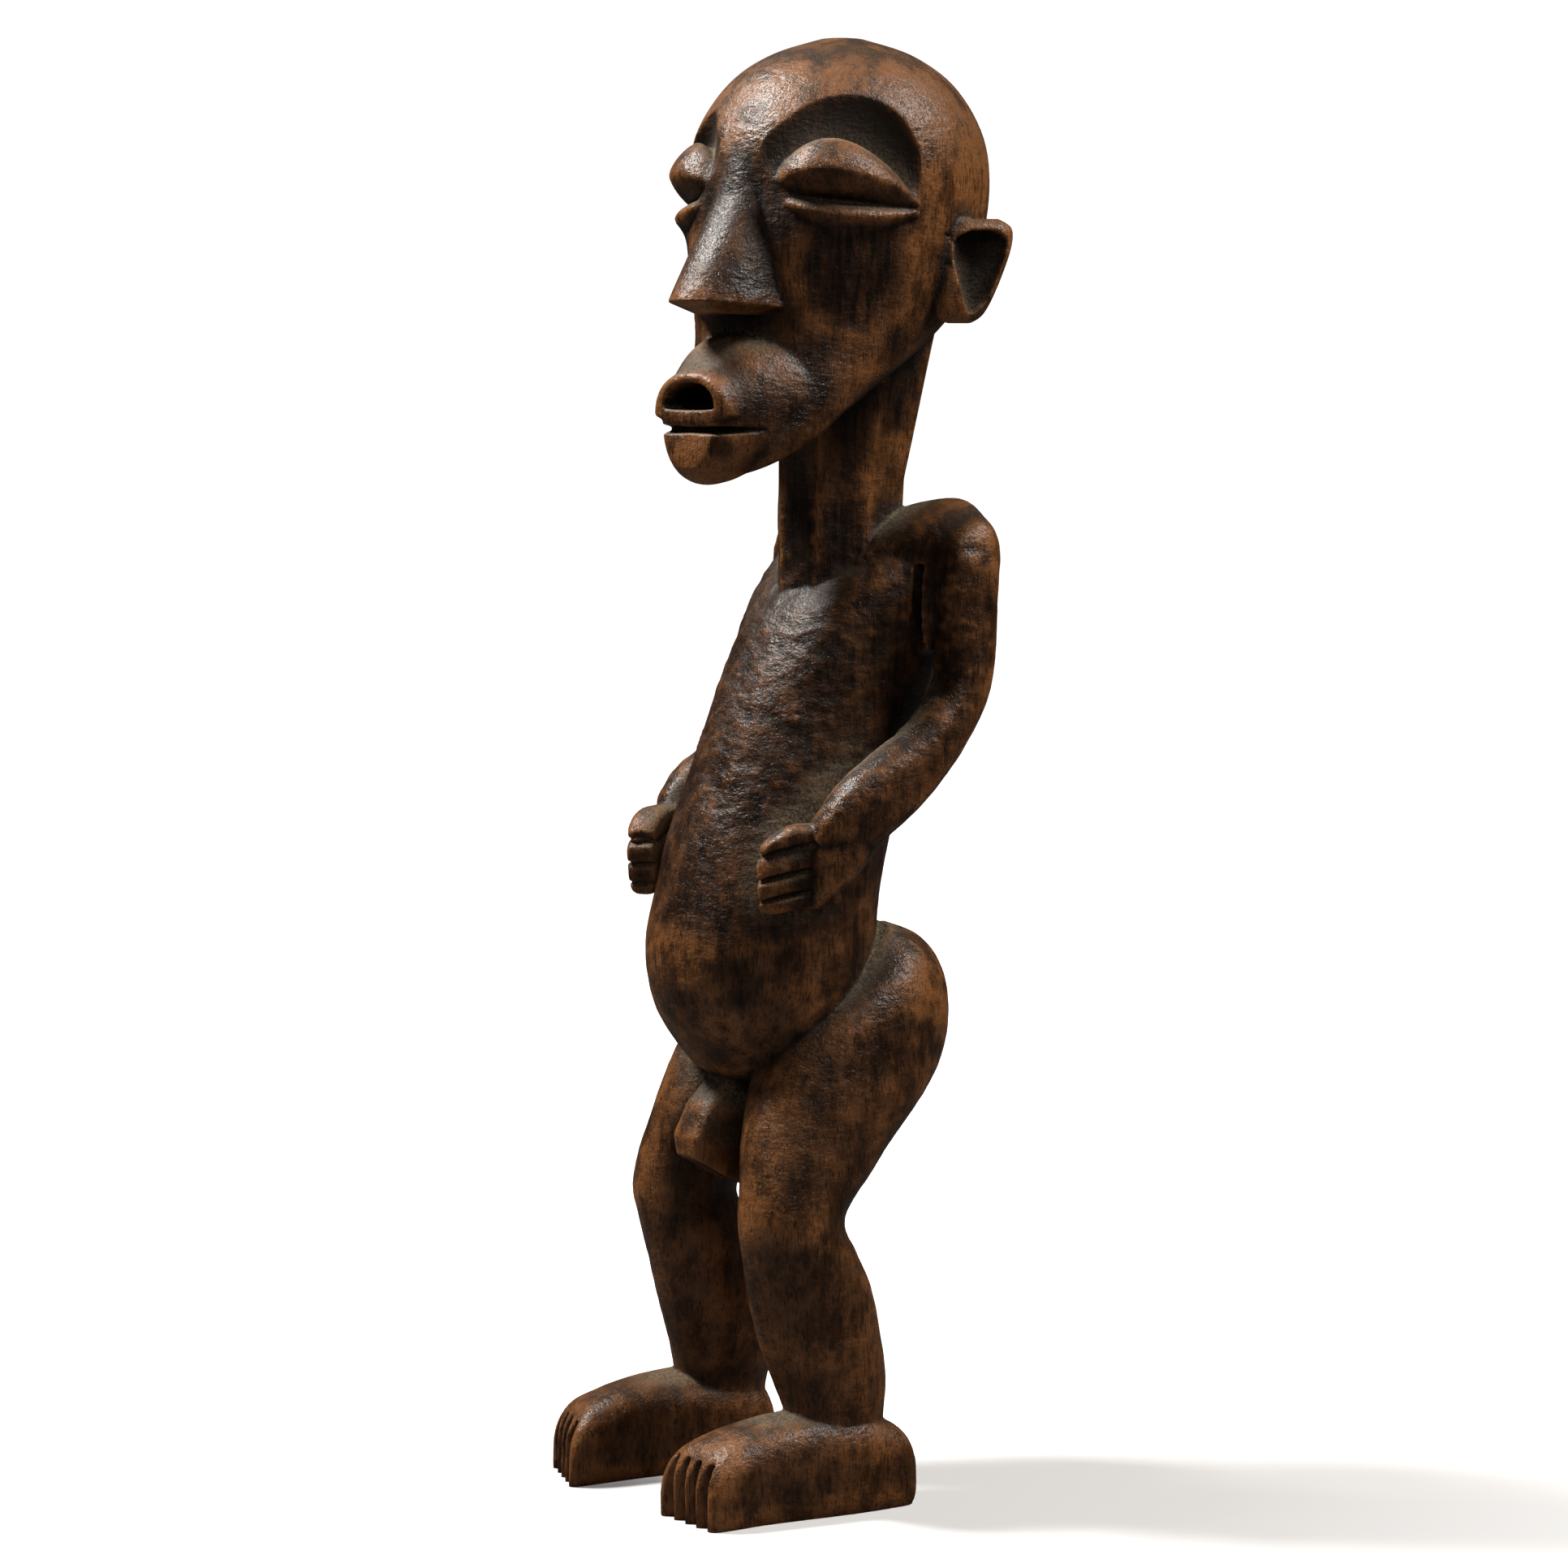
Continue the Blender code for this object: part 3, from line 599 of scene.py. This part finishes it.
# The carved surface. All the forms are grown into one skin on a 0.6 mm grid, eased a little as
# wear has done, marked with the shallow scallops of the adze, and cut flat under the soles. The
# cheeks are rubbed soft last.
FINE_VOXEL = 0.6 * U
FINE_SOFTEN = 4
PIECE_TRIANGLES = 190000
CHEEK_PLACE = (32, -31, 419)
CHEEK_REACH = 20
CHEEK_RUBBING = 80
CHEEK_FADE = 1.6
SCALLOP = 6.5 * U
SCALLOP_RISE = 0.65 * U
NICK = 2.8 * U
NICK_RISE = 0.22 * U
SWELL = 14 * U
SWELL_RISE = 0.35 * U
SMOOTH_BELOW = 3
CHEST_FROM = 205
TOOLED_BELOW = 345
HASH_STEPS = (127.1, 311.7, 74.7)
HASH_SPREAD = 43758.5453
AXIS_SEED_STEP = 17.3
BEND_SEED, SCALLOP_SEED, NICK_SEED, SWELL_SEED = 9.0, 3.0, 7.0, 5.0


def stand(figure):
    """Cut the soles flat at z = 0 and close them."""
    bm = bmesh.new()
    bm.from_mesh(figure.data)
    everything = bm.verts[:] + bm.edges[:] + bm.faces[:]
    rim = bmesh.ops.bisect_plane(bm, geom=everything, dist=1e-7, plane_co=(0, 0, 0),
                                 plane_no=(0, 0, 1), clear_inner=True)
    edges = [e for e in rim["geom_cut"] if isinstance(e, bmesh.types.BMEdge)]
    bmesh.ops.holes_fill(bm, edges=edges, sides=0)
    bmesh.ops.triangulate(bm, faces=bm.faces)
    bm.to_mesh(figure.data)
    bm.free()


def mesh_points(mesh):
    values = np.empty(len(mesh.vertices) * 3)
    mesh.vertices.foreach_get("co", values)
    return values.reshape(-1, 3)


def mesh_normals(mesh):
    values = np.empty(len(mesh.vertices) * 3)
    mesh.vertex_normals.foreach_get("vector", values)
    return values.reshape(-1, 3)


def mesh_edges(mesh):
    values = np.empty(len(mesh.edges) * 2, dtype=np.int32)
    mesh.edges.foreach_get("vertices", values)
    return values.reshape(-1, 2)


def hashed(cells, seed):
    """A repeatable number from 0 to 1 for each whole-numbered cell."""
    mixed = cells @ np.array(HASH_STEPS) + seed
    value = np.sin(mixed) * HASH_SPREAD
    return value - np.floor(value)


def swell(points, size, seed):
    """Soft uneven noise from -1 to 1."""
    grid = points / size
    cell = np.floor(grid)
    local = grid - cell
    local = local * local * (3 - 2 * local)
    total = np.zeros(len(points))
    for dx in (0, 1):
        for dy in (0, 1):
            for dz in (0, 1):
                weight = np.ones(len(points))
                for axis, d in enumerate((dx, dy, dz)):
                    weight *= local[:, axis] if d else 1 - local[:, axis]
                total += weight * hashed(cell + (dx, dy, dz), seed)
    return total * 2 - 1


def scallops(points, size, seed):
    """Distance to the nearest of many scattered middles, from 0 to about 1: hollows with ridges."""
    grid = points / size
    cell = np.floor(grid)
    nearest = np.full(len(points), 9.0)
    for dx in (-1, 0, 1):
        for dy in (-1, 0, 1):
            for dz in (-1, 0, 1):
                other = cell + (dx, dy, dz)
                middle = [hashed(other, seed + k * AXIS_SEED_STEP) for k in range(3)]
                gap = other + np.stack(middle, axis=1) - grid
                nearest = np.minimum(nearest, (gap * gap).sum(axis=1))
    return np.sqrt(nearest)


def blurred(values, edges, count, times):
    """Each point's value averaged again and again with those of its neighbours."""
    degree = np.bincount(edges.ravel(), minlength=count).clip(1)
    for _ in range(times):
        total = np.bincount(edges[:, 0], values[edges[:, 1]], count)
        total += np.bincount(edges[:, 1], values[edges[:, 0]], count)
        values = 0.5 * values + 0.5 * total / degree
    return values


def ease(mesh, weights, times):
    """Rub the surface smooth where the weights say, from 0 for untouched to 1."""
    points = mesh_points(mesh)
    edges = mesh_edges(mesh)
    edges = edges[(weights[edges] > 0).any(axis=1)]
    chosen = np.unique(edges)
    order = np.full(len(points), -1)
    order[chosen] = np.arange(len(chosen))
    edges = order[edges]
    rubbed, share = points[chosen], weights[chosen][:, None]
    for _ in range(times):
        mean = np.stack([blurred(rubbed[:, k], edges, len(chosen), 1) for k in range(3)], axis=1)
        rubbed += (mean - rubbed) * share
    points[chosen] = rubbed
    mesh.vertices.foreach_set("co", points.ravel())
    mesh.update()


bm = bmesh.new()
for piece in pieces:
    bm.from_mesh(piece.data)
    bpy.data.objects.remove(piece, do_unlink=True)
figure = new_object("carved_figure", bm)
skin = figure.modifiers.new("skin", "REMESH")
skin.mode = "VOXEL"
skin.voxel_size = FINE_VOXEL
soften = figure.modifiers.new("soften", "SMOOTH")
soften.factor = 0.5
soften.iterations = FINE_SOFTEN
bake(figure)

points, normals = mesh_points(figure.data), mesh_normals(figure.data)
height = points[:, 2] / U
flat_cut = np.clip((height - SMOOTH_BELOW) / 6, 0, 1)
body = np.clip((TOOLED_BELOW - height) / 20, 0, 1)
bent = points + swell(points, SWELL, BEND_SEED)[:, None] * SCALLOP * 0.5
front = np.clip(0.3 - normals[:, 1], 0, 1) * np.clip((height - CHEST_FROM) / 40, 0, 1)
scallop = scallops(bent * (1, 1, 1.3), SCALLOP, SCALLOP_SEED) - 0.5
tool = scallop * SCALLOP_RISE * body * (0.3 + 0.7 * front)
nick = scallops(bent * (1, 1, 1.8), NICK, NICK_SEED) - 0.5
tool += nick * NICK_RISE * body * (0.2 + 0.8 * front)
tool += swell(points, SWELL, SWELL_SEED) * SWELL_RISE * (0.4 + 0.6 * body)
points += normals * (tool * flat_cut)[:, None]
figure.data.vertices.foreach_set("co", points.ravel())
figure.data.update()
stand(figure)

faces = len(figure.data.polygons)
thin = figure.modifiers.new("thin", "DECIMATE")
thin.ratio = PIECE_TRIANGLES / (2 * faces)
bake(figure)
points = mesh_points(figure.data)
rubbing = np.zeros(len(points))
for side in (1, -1):
    across, forward, up = CHEEK_PLACE
    middle = on_neck @ (Vector((side * across, forward, up)) * U)
    gap = (points - np.array(middle)) / (CHEEK_REACH * U)
    rubbing += np.clip(CHEEK_FADE - CHEEK_FADE * (gap * gap).sum(axis=1), 0, 1)
ease(figure.data, rubbing, CHEEK_RUBBING)
xs, ys, zs = zip(*(v.co for v in figure.data.vertices))
off_centre = Vector(((min(xs) + max(xs)) / 2, (min(ys) + max(ys)) / 2, 0))
move(figure, Matrix.Translation(-off_centre))
figure.data.update()


# The finish. Handling has polished the raised edges to a warm brown. Painted shade darkens the
# creases, the hollows and the places the figure shelters nearly to black. A painted grey sheen
# of the top light lies on the crown and on faces that look up, and tan dust where the figure
# shelters itself. Four values on the surface say where.
CLOSE_ROUNDS = 3
WIDE_ROUNDS = 60
SHELTER_REACH = 30 * U
SHELTER_RAYS = 22
SHELTER_ROUNDS = 6
RAY_START = 0.8 * U
LOWEST_FACING = 0.15
GOLDEN_ANGLE = 2.399963
CLOSE_HOLLOW, CLOSE_EDGE, WIDE_FORM = 0.10 * U, 0.16 * U, 2.6 * U
SHIN_TOP = 170
CROWN_FROM = 450


def hollowness(mesh, times):
    """How far each point lies below the surface around it, in metres."""
    points, edges = mesh_points(mesh), mesh_edges(mesh)
    around = np.stack([blurred(points[:, k], edges, len(points), times) for k in range(3)], axis=1)
    return ((around - points) * mesh_normals(mesh)).sum(axis=1)


def shelter(mesh, reach, ray_count):
    """The share of each point's outlook, within the reach, that the figure itself blocks."""
    corners = [vertex.co for vertex in mesh.vertices]
    solid = BVHTree.FromPolygons(corners, [face.vertices[:] for face in mesh.polygons])
    rays = []
    for k in range(ray_count):
        rise = 1 - (2 * k + 1) / ray_count
        around = k * GOLDEN_ANGLE
        flat = sqrt(1 - rise * rise)
        rays.append(Vector((flat * cos(around), flat * sin(around), rise)))
    shares = []
    for point in mesh.vertices:
        start = point.co + point.normal * RAY_START
        blocked = seen = 0
        for ray in rays:
            facing = ray.dot(point.normal)
            if facing > LOWEST_FACING:
                seen += facing
                if solid.ray_cast(start, ray, reach)[0] is not None:
                    blocked += facing
        shares.append(blocked / seen)
    return np.array(shares)


close = hollowness(figure.data, CLOSE_ROUNDS)
wide = hollowness(figure.data, WIDE_ROUNDS)
edges = mesh_edges(figure.data)
count = len(figure.data.vertices)
sheltered = shelter(figure.data, SHELTER_REACH, SHELTER_RAYS)
sheltered = blurred(sheltered, edges, count, SHELTER_ROUNDS)
height = mesh_points(figure.data)[:, 2] / U
upward = np.clip(mesh_normals(figure.data)[:, 2], 0, 1)

# Painted shade: creases, hollows and the places the figure shelters are made near black.
hollow = np.clip(close / CLOSE_HOLLOW, 0, 1) * 0.4 + np.clip(wide / WIDE_FORM - 0.12, 0, 1) * 0.35
hollow += np.clip(sheltered * 1.6 - 0.5, 0, 1) * 0.6
edge = np.clip(-close / CLOSE_EDGE - 0.5, 0, 1) + np.clip(-wide / WIDE_FORM - 0.75, 0, 1) * 0.7
# The legs and feet below the shin tops are also lightened towards the warm orange, fully below 90
# mm and fading out at the shin tops.
edge += np.clip((SHIN_TOP - height) / 80, 0, 1) * 0.2
dust = upward ** 0.5 * np.clip(sheltered * 5.5 - 0.6, 0, 1.8)
# Painted sheen: the crown and the faces that look up are greyed and lightened as if lit from above,
# less on the worn edges.
painted_sheen = np.clip(upward * 1.8 - 0.7, 0, 1) + 0.85 * np.clip((height - CROWN_FROM) / 14, 0, 1)
painted_sheen *= 1 - 0.6 * np.clip(edge, 0, 1)
masks = (("hollow", hollow), ("worn", edge), ("dusty", dust), ("painted_sheen_mask", painted_sheen))
for name, values in masks:
    layer = figure.data.attributes.new(name, "FLOAT", "POINT")
    layer.data.foreach_set("value", blurred(np.clip(values, 0, 1), edges, count, 1))
bpy.ops.object.select_all(action="DESELECT")
figure.select_set(True)
bpy.context.view_layer.objects.active = figure
bpy.ops.object.shade_smooth()


def node(tree, kind, **settings):
    item = tree.nodes.new(kind)
    for key, value in settings.items():
        setattr(item, key, value)
    return item


def link(tree, source, target):
    tree.links.new(source, target)


def ramp(tree, source, stops):
    """A colour ramp over the source, with stops as (place, colour); a number stands for a grey."""
    item = node(tree, "ShaderNodeValToRGB")
    elements = item.color_ramp.elements
    while len(elements) < len(stops):
        elements.new(0.5)
    for element, (place, colour) in zip(elements, stops):
        element.position = place
        if isinstance(colour, (int, float)):
            colour = (colour, colour, colour)
        element.color = (*colour, 1)
    link(tree, source, item.inputs["Fac"])
    return item.outputs["Color"]


def blend(tree, factor, first, second):
    """The first colour, with the second laid over it by the factor."""
    item = node(tree, "ShaderNodeMix", data_type="RGBA")
    sockets = [s for s in item.inputs if s.enabled]
    for value, socket in zip((factor, first, second), sockets):
        if isinstance(value, (int, float)):
            socket.default_value = value
        elif isinstance(value, tuple):
            socket.default_value = (*value, 1)
        else:
            link(tree, value, socket)
    return [s for s in item.outputs if s.enabled][0]


def math_node(tree, operation, *values):
    item = node(tree, "ShaderNodeMath", operation=operation)
    for value, socket in zip(values, item.inputs):
        if isinstance(value, (int, float)):
            socket.default_value = value
        else:
            link(tree, value, socket)
    return item.outputs["Value"]


def noise_texture(tree, vector, scale, detail, roughness, stretch=(1, 1, 1)):
    """Noise over the figure, drawn out along z by a stretch under 1 there."""
    mapping = node(tree, "ShaderNodeMapping")
    mapping.inputs["Scale"].default_value = stretch
    link(tree, vector, mapping.inputs["Vector"])
    item = node(tree, "ShaderNodeTexNoise")
    item.inputs["Scale"].default_value = scale
    item.inputs["Detail"].default_value = detail
    item.inputs["Roughness"].default_value = roughness
    link(tree, mapping.outputs["Vector"], item.inputs["Vector"])
    return item.outputs["Fac"]


DEEP = (0.0040, 0.0018, 0.0009)
BROWN = (0.0250, 0.0096, 0.0035)
WARM = (0.0340, 0.0124, 0.0038)
ORANGE = (0.0900, 0.0330, 0.0090)
WORN = (0.2400, 0.0920, 0.0260)
DUST = (0.1700, 0.1300, 0.0800)
# The grey of the painted sheen on the crown and the upward faces.
PAINTED_SHEEN_GREY = (0.0400, 0.0290, 0.0205)
GLOSS_LEVEL = 0.32
ROUGHEST = 0.95
RELIEF_STRENGTH = 0.6
RELIEF_DEPTH = 0.0005

wood = bpy.data.materials.new("dark hardwood")
wood.use_nodes = True
tree = wood.node_tree
shader = tree.nodes["Principled BSDF"]
shader.inputs["Specular IOR Level"].default_value = GLOSS_LEVEL
place = node(tree, "ShaderNodeTexCoord").outputs["Object"]
mask = {}
for name, _ in masks:
    mask[name] = node(tree, "ShaderNodeAttribute", attribute_name=name).outputs["Fac"]

patches = noise_texture(tree, place, 34, 8, 0.74, (1, 1, 0.55))
blotches = noise_texture(tree, place, 85, 8, 0.76, (1, 1, 0.5))
grain = noise_texture(tree, place, 420, 5, 0.6, (1, 1, 0.06))
pores = noise_texture(tree, place, 1900, 2, 0.5, (1, 1, 0.10))
speck = noise_texture(tree, place, 900, 3, 0.6)

colour = blend(tree, ramp(tree, patches, ((0.43, 0.0), (0.60, 1.0))), BROWN, WARM)
colour = blend(tree, ramp(tree, blotches, ((0.50, 0.0), (0.66, 0.8))), colour, ORANGE)
colour = blend(tree, ramp(tree, blotches, ((0.38, 0.4), (0.48, 0.0))), colour, DEEP)
colour = blend(tree, ramp(tree, grain, ((0.42, 0.75), (0.52, 0.0))), colour, DEEP)
worn = math_node(tree, "MULTIPLY", mask["worn"], ramp(tree, blotches, ((0.42, 0.25), (0.55, 1.0))))
worn = math_node(tree, "MINIMUM", math_node(tree, "MULTIPLY", worn, 1.2), 0.85)
colour = blend(tree, worn, colour, WORN)
# Painted shade: the hollow value lays the near-black DEEP over creases, hollows and sheltered
# places.
colour = blend(tree, ramp(tree, mask["hollow"], ((0.15, 0.0), (0.85, 0.92))), colour, DEEP)
colour = blend(tree, ramp(tree, pores, ((0.34, 0.7), (0.42, 0.0))), colour, DEEP)
# Painted sheen: a patchy grey laid over the crown and the faces that look up.
sheen_spread = ramp(tree, blotches, ((0.42, 0.85), (0.58, 0.45)))
colour = blend(tree, math_node(tree, "MULTIPLY", mask["painted_sheen_mask"], sheen_spread), colour, PAINTED_SHEEN_GREY)
dusting = math_node(tree, "MULTIPLY", mask["dusty"], ramp(tree, speck, ((0.42, 0.25), (0.56, 1.0))))
dusting = math_node(tree, "MINIMUM", math_node(tree, "MULTIPLY", dusting, 0.85), 0.75)
colour = blend(tree, dusting, colour, DUST)
link(tree, colour, shader.inputs["Base Color"])

gloss = ramp(tree, blotches, ((0.35, 0.28), (0.65, 0.46)))
gloss = math_node(tree, "ADD", gloss, math_node(tree, "MULTIPLY", mask["hollow"], 0.35))
gloss = math_node(tree, "ADD", gloss, math_node(tree, "MULTIPLY", mask["dusty"], 0.4))
link(tree, math_node(tree, "MINIMUM", gloss, ROUGHEST), shader.inputs["Roughness"])

marks = noise_texture(tree, place, 210, 4, 0.65, (1, 1, 1.9))
relief = math_node(tree, "MULTIPLY", grain, 0.7)
relief = math_node(tree, "ADD", relief, math_node(tree, "MULTIPLY", speck, 0.6))
relief = math_node(tree, "ADD", relief, ramp(tree, pores, ((0.34, 0.0), (0.42, 0.4))))
relief = math_node(tree, "ADD", relief, math_node(tree, "MULTIPLY", marks, 2.2))
bump = node(tree, "ShaderNodeBump")
bump.inputs["Strength"].default_value = RELIEF_STRENGTH
bump.inputs["Distance"].default_value = RELIEF_DEPTH
link(tree, relief, bump.inputs["Height"])
link(tree, bump.outputs["Normal"], shader.inputs["Normal"])

figure.data.materials.clear()
figure.data.materials.append(wood)
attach(figure, "root")
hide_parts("figure")


# The setting. The figure stands on a plain pale floor that fades into white, lit by three soft
# boxes: a key light from the front, a rim light from behind and a weak fill.
FLOOR_SIZE = 12.0
FLOOR_SEEN = (0.8, 0.8, 0.8)
FLOOR_TO_SOFT_LIGHT = (0.2, 0.2, 0.2)
FLOOR_TO_GLOSS = (0.03, 0.03, 0.03)
AIM = Vector((0, 0, 0.25))
WARM_LIGHT = (1.0, 0.965, 0.92)

bpy.ops.mesh.primitive_plane_add(size=FLOOR_SIZE, location=(0, 0, 0))
floor = bpy.context.active_object
floor.name = "floor"
paper = bpy.data.materials.new("pale_paper")
paper.use_nodes = True
tree = paper.node_tree
sheet = tree.nodes["Principled BSDF"]
sheet.inputs["Roughness"].default_value = 0.9
sheet.inputs["Emission Color"].default_value = (1, 1, 1, 1)
far_off = node(tree, "ShaderNodeVectorMath", operation="LENGTH")
link(tree, node(tree, "ShaderNodeTexCoord").outputs["Object"], far_off.inputs[0])
glow = node(tree, "ShaderNodeMapRange")
for key, value in (("From Min", 0.15), ("From Max", 1.2), ("To Min", 0.12), ("To Max", 1.05)):
    glow.inputs[key].default_value = value
link(tree, far_off.outputs["Value"], glow.inputs["Value"])
path = node(tree, "ShaderNodeLightPath")
seen = path.outputs["Is Camera Ray"]
shining = math_node(tree, "MULTIPLY", glow.outputs["Result"], seen)
link(tree, shining, sheet.inputs["Emission Strength"])
bounce = blend(tree, path.outputs["Is Diffuse Ray"], FLOOR_TO_GLOSS, FLOOR_TO_SOFT_LIGHT)
link(tree, blend(tree, seen, bounce, FLOOR_SEEN), sheet.inputs["Base Color"])
floor.data.materials.append(paper)


def soft_box(name, azimuth, elevation, distance, size, power):
    """A square light at a compass angle round the figure, facing it. Angle 0 is at -Y, 90 at +X."""
    light = bpy.data.lights.new(name, "AREA")
    light.size = size
    light.energy = power
    light.color = WARM_LIGHT
    item = bpy.data.objects.new(name, light)
    bpy.context.scene.collection.objects.link(item)
    a, e = radians(azimuth), radians(elevation)
    item.location = AIM + Vector((sin(a) * cos(e), -cos(a) * cos(e), sin(e))) * distance
    item.rotation_euler = (AIM - item.location).to_track_quat("-Z", "Y").to_euler()


soft_box("key light", -46, 55, 1.5, 0.30, 42)
soft_box("rim light", 134, 52, 1.5, 0.4, 23)
soft_box("fill light", 62, 40, 2.2, 0.4, 2.5)

world = bpy.data.worlds.new("studio")
world.use_nodes = True
tree = world.node_tree
seen = node(tree, "ShaderNodeLightPath").outputs["Is Camera Ray"]
strength = node(tree, "ShaderNodeMapRange")
strength.inputs["To Min"].default_value = 0.03
strength.inputs["To Max"].default_value = 1.1
link(tree, seen, strength.inputs["Value"])
link(tree, strength.outputs["Result"], tree.nodes["Background"].inputs["Strength"])
tree.nodes["Background"].inputs["Color"].default_value = (1, 1, 1, 1)
bpy.context.scene.world = world
bpy.context.scene.view_settings.view_transform = "Standard"


# The camera. It looks from the figure's left front, a little above its middle, through a long
# lens, and keeps the whole figure in a square frame.
CAMERA_PLACE = Vector((1.25997, -0.82119, 0.400))
CAMERA_AIM = Vector((0.001966, -0.004229, 0.24511))
LENS = 100.46

lens = bpy.data.cameras.new("camera")
lens.lens = LENS
lens.sensor_width = 36
camera = bpy.data.objects.new("camera", lens)
bpy.context.scene.collection.objects.link(camera)
camera.location = CAMERA_PLACE
camera.rotation_euler = (CAMERA_AIM - CAMERA_PLACE).to_track_quat("-Z", "Y").to_euler()
bpy.context.scene.camera = camera
